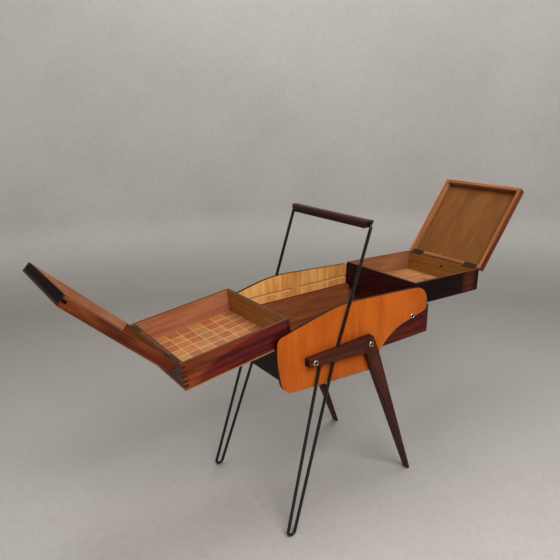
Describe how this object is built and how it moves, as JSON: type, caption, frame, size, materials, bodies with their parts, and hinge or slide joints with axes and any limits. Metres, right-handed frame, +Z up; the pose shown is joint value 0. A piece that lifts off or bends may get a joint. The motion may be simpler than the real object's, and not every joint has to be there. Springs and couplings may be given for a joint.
{
  "type": "sewing box with trays",
  "caption": "Wooden sewing box on a stand of bent steel rods and tapered legs, with a carrying handle and lidded trays that slide and tip outwards over a deep middle box.",
  "frame": {"origin": "on the floor, under the middle of the whole object's bounding box as it stands open", "axes": "+X towards the right tray, +Y to the back, +Z up"},
  "size_m": [1.2006, 0.323, 0.6693],
  "materials": {
    "mahogany": "reddish brown wood, satin varnish",
    "dark_wood": "dark stained hardwood, satin varnish",
    "veneer": "orange striped veneer on plywood, glossy varnish",
    "plywood": "pale plywood, matt",
    "lining": "printed film with a pattern of striped squares",
    "steel": "black gloss paint",
    "brass": "aged, worn",
    "hinge_metal": "brassed steel, dulled"
  },
  "bodies": {
    "stand": {"back_bracket_arm": "dark_wood", "back_bracket_screw_left": "brass", "back_bracket_screw_right": "brass", "back_frame_rod": "steel", "back_panel_screw": "brass", "back_side_panel": "veneer", "back_wooden_leg": "dark_wood", "box_back_wall": "mahogany", "box_floor": "plywood", "box_front_wall": "mahogany", "box_left_end": "mahogany", "box_right_end": "mahogany", "front_bracket_arm": "dark_wood", "front_bracket_screw_left": "brass", "front_bracket_screw_right": "brass", "front_frame_rod": "steel", "front_panel_screw": "brass", "front_side_panel": "veneer", "front_wooden_leg": "dark_wood", "handle_grip": "dark_wood"},
    "left_pins": {"left_tray_back_guide_pin": "hinge_metal", "left_tray_front_guide_pin": "hinge_metal"},
    "left_tray": {"left_lid_back_hinge_tray_leaf": "hinge_metal", "left_lid_front_hinge_tray_leaf": "hinge_metal", "left_tray_back_wall": "mahogany", "left_tray_bottom": "plywood", "left_tray_front_wall": "mahogany", "left_tray_inner_end": "mahogany", "left_tray_lining": "lining", "left_tray_outer_end": "mahogany"},
    "left_lid": {"left_lid_back_hinge_lid_leaf": "hinge_metal", "left_lid_back_rim": "mahogany", "left_lid_front_hinge_lid_leaf": "hinge_metal", "left_lid_front_rim": "mahogany", "left_lid_inner_end": "mahogany", "left_lid_outer_end": "mahogany", "left_lid_panel": "mahogany"},
    "right_pins": {"right_tray_back_guide_pin": "hinge_metal", "right_tray_front_guide_pin": "hinge_metal"},
    "right_tray": {"right_lid_back_hinge_tray_leaf": "hinge_metal", "right_lid_front_hinge_tray_leaf": "hinge_metal", "right_tray_back_wall": "mahogany", "right_tray_bottom": "plywood", "right_tray_front_wall": "mahogany", "right_tray_inner_end": "mahogany", "right_tray_lining": "lining", "right_tray_outer_end": "mahogany"},
    "right_lid": {"right_lid_back_hinge_lid_leaf": "hinge_metal", "right_lid_back_rim": "mahogany", "right_lid_front_hinge_lid_leaf": "hinge_metal", "right_lid_front_rim": "mahogany", "right_lid_inner_end": "mahogany", "right_lid_outer_end": "mahogany", "right_lid_panel": "mahogany"}
  },
  "joints": [
    {"name": "left_tray_slide", "type": "slide", "parent": "stand", "child": "left_pins", "axis": [1, 0, 0], "range_m": [0, 0.1897]},
    {"name": "left_tray_tilt", "type": "hinge", "parent": "left_pins", "child": "left_tray", "pos_m": [-0.18264, 0, 0.4455], "axis": [0, 1, 0], "range_deg": [0, 7.3]},
    {"name": "left_lid_hinge", "type": "hinge", "parent": "left_tray", "child": "left_lid", "pos_m": [-0.41175, 0, 0.45617], "axis": [0, 1, 0], "range_deg": [0, 128.9]},
    {"name": "right_tray_slide", "type": "slide", "parent": "stand", "child": "right_pins", "axis": [-1, 0, 0], "range_m": [0, 0.1692]},
    {"name": "right_tray_tilt", "type": "hinge", "parent": "right_pins", "child": "right_tray", "pos_m": [0.21026, 0, 0.4455], "axis": [0, -1, 0], "range_deg": [0, 2.1]},
    {"name": "right_lid_hinge", "type": "hinge", "parent": "right_tray", "child": "right_lid", "pos_m": [0.43746, 0, 0.4769], "axis": [0, -1, 0], "range_deg": [0, 125.3]}
  ],
  "couplings": [
    {"joint": "left_tray_tilt", "follows": "left_tray_slide", "rad_per_m": 0.6716},
    {"joint": "right_tray_tilt", "follows": "right_tray_slide", "rad_per_m": 0.2166}
  ]
}
